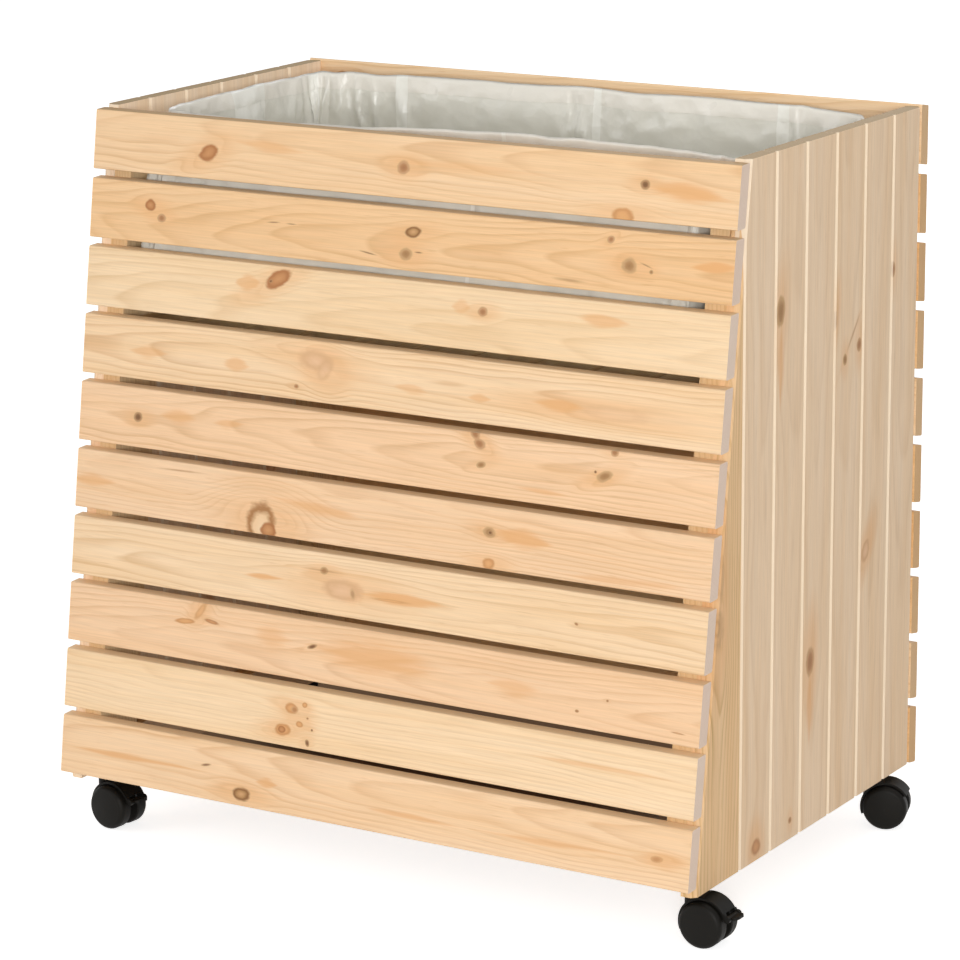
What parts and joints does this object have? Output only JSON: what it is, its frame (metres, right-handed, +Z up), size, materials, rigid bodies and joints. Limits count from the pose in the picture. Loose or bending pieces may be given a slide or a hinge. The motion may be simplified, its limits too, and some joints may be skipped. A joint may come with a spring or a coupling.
{
  "type": "raised garden bed",
  "caption": "Raised garden bed of pine slats with a leaning front, boarded sides, a fabric liner for soil and swivel casters, the front ones with brake levers.",
  "frame": {"origin": "on the floor, below the middle of the bed's width and of its depth at the foot", "axes": "+X across the width to the right as seen from the front, +Y from the leaning front to the upright back, +Z up"},
  "size_m": [0.8609, 0.5467, 0.8121],
  "materials": {
    "slat_wood": "planed, untreated",
    "panel_wood": "planed, untreated",
    "frame_wood": "sawn, untreated",
    "liner_film": "translucent woven film",
    "steel": "bright drawn",
    "black_plastic": "satin"
  },
  "bodies": {
    "bed": {"front_slat_01": "slat_wood", "front_slat_02": "slat_wood", "front_slat_03": "slat_wood", "front_slat_04": "slat_wood", "front_slat_05": "slat_wood", "front_slat_06": "slat_wood", "front_slat_07": "slat_wood", "front_slat_08": "slat_wood", "front_slat_09": "slat_wood", "front_slat_10": "slat_wood", "back_slat_01": "slat_wood", "back_slat_02": "slat_wood", "back_slat_03": "slat_wood", "back_slat_04": "slat_wood", "back_slat_05": "slat_wood", "back_slat_06": "slat_wood", "back_slat_07": "slat_wood", "back_slat_08": "slat_wood", "back_slat_09": "slat_wood", "back_slat_10": "slat_wood", "left_board_1": "panel_wood", "left_board_2": "panel_wood", "left_board_3": "panel_wood", "left_board_4": "panel_wood", "left_board_5": "panel_wood", "left_board_6": "panel_wood", "left_board_7": "panel_wood", "right_board_1": "panel_wood", "right_board_2": "panel_wood", "right_board_3": "panel_wood", "right_board_4": "panel_wood", "right_board_5": "panel_wood", "right_board_6": "panel_wood", "right_board_7": "panel_wood", "front_left_post": "frame_wood", "front_right_post": "frame_wood", "back_right_post": "frame_wood", "back_left_post": "frame_wood", "inner_rails": "frame_wood", "floor_boards": "frame_wood", "liner": "liner_film", "nails": "steel"},
    "front_left_swivel": {"front_left_hood": "black_plastic", "front_left_pins": "steel"},
    "front_left_wheel_a": {"front_left_wheel_a": "black_plastic"},
    "front_left_wheel_b": {"front_left_wheel_b": "black_plastic"},
    "front_left_brake": {"front_left_brake_lever": "black_plastic"},
    "front_right_swivel": {"front_right_hood": "black_plastic", "front_right_pins": "steel"},
    "front_right_wheel_a": {"front_right_wheel_a": "black_plastic"},
    "front_right_wheel_b": {"front_right_wheel_b": "black_plastic"},
    "front_right_brake": {"front_right_brake_lever": "black_plastic"},
    "back_right_swivel": {"back_right_hood": "black_plastic", "back_right_pins": "steel"},
    "back_right_wheel_a": {"back_right_wheel_a": "black_plastic"},
    "back_right_wheel_b": {"back_right_wheel_b": "black_plastic"},
    "back_left_swivel": {"back_left_hood": "black_plastic", "back_left_pins": "steel"},
    "back_left_wheel_a": {"back_left_wheel_a": "black_plastic"},
    "back_left_wheel_b": {"back_left_wheel_b": "black_plastic"}
  },
  "joints": [
    {"name": "front_left_swivel_turn", "type": "hinge", "parent": "bed", "child": "front_left_swivel", "pos_m": [-0.377, -0.22276, 0.06], "axis": [0, 0, 1], "continuous": true},
    {"name": "front_left_wheel_a_roll", "type": "hinge", "parent": "front_left_swivel", "child": "front_left_wheel_a", "pos_m": [-0.35711, -0.22486, 0.025], "axis": [0.1045, 0.9945, 0], "continuous": true},
    {"name": "front_left_wheel_b_roll", "type": "hinge", "parent": "front_left_swivel", "child": "front_left_wheel_b", "pos_m": [-0.35711, -0.22486, 0.025], "axis": [0.1045, 0.9945, 0], "continuous": true},
    {"name": "front_left_brake_press", "type": "hinge", "parent": "front_left_swivel", "child": "front_left_brake", "pos_m": [-0.32909, -0.2278, 0.0347], "axis": [0.1045, 0.9945, 0], "range_deg": [0, 20]},
    {"name": "front_right_swivel_turn", "type": "hinge", "parent": "bed", "child": "front_right_swivel", "pos_m": [0.377, -0.22276, 0.06], "axis": [0, 0, 1], "continuous": true},
    {"name": "front_right_wheel_a_roll", "type": "hinge", "parent": "front_right_swivel", "child": "front_right_wheel_a", "pos_m": [0.397, -0.22276, 0.025], "axis": [0, 1, 0], "continuous": true},
    {"name": "front_right_wheel_b_roll", "type": "hinge", "parent": "front_right_swivel", "child": "front_right_wheel_b", "pos_m": [0.397, -0.22276, 0.025], "axis": [0, 1, 0], "continuous": true},
    {"name": "front_right_brake_press", "type": "hinge", "parent": "front_right_swivel", "child": "front_right_brake", "pos_m": [0.42518, -0.22276, 0.0347], "axis": [0, 1, 0], "range_deg": [0, 20]},
    {"name": "back_right_swivel_turn", "type": "hinge", "parent": "bed", "child": "back_right_swivel", "pos_m": [0.377, 0.2025, 0.06], "axis": [0, 0, 1], "continuous": true},
    {"name": "back_right_wheel_a_roll", "type": "hinge", "parent": "back_right_swivel", "child": "back_right_wheel_a", "pos_m": [0.39613, 0.20835, 0.025], "axis": [-0.2924, 0.9563, 0], "continuous": true},
    {"name": "back_right_wheel_b_roll", "type": "hinge", "parent": "back_right_swivel", "child": "back_right_wheel_b", "pos_m": [0.39613, 0.20835, 0.025], "axis": [-0.2924, 0.9563, 0], "continuous": true},
    {"name": "back_left_swivel_turn", "type": "hinge", "parent": "bed", "child": "back_left_swivel", "pos_m": [-0.377, 0.2025, 0.06], "axis": [0, 0, 1], "continuous": true},
    {"name": "back_left_wheel_a_roll", "type": "hinge", "parent": "back_left_swivel", "child": "back_left_wheel_a", "pos_m": [-0.39579, 0.19566, 0.025], "axis": [0.342, -0.9397, 0], "continuous": true},
    {"name": "back_left_wheel_b_roll", "type": "hinge", "parent": "back_left_swivel", "child": "back_left_wheel_b", "pos_m": [-0.39579, 0.19566, 0.025], "axis": [0.342, -0.9397, 0], "continuous": true}
  ]
}
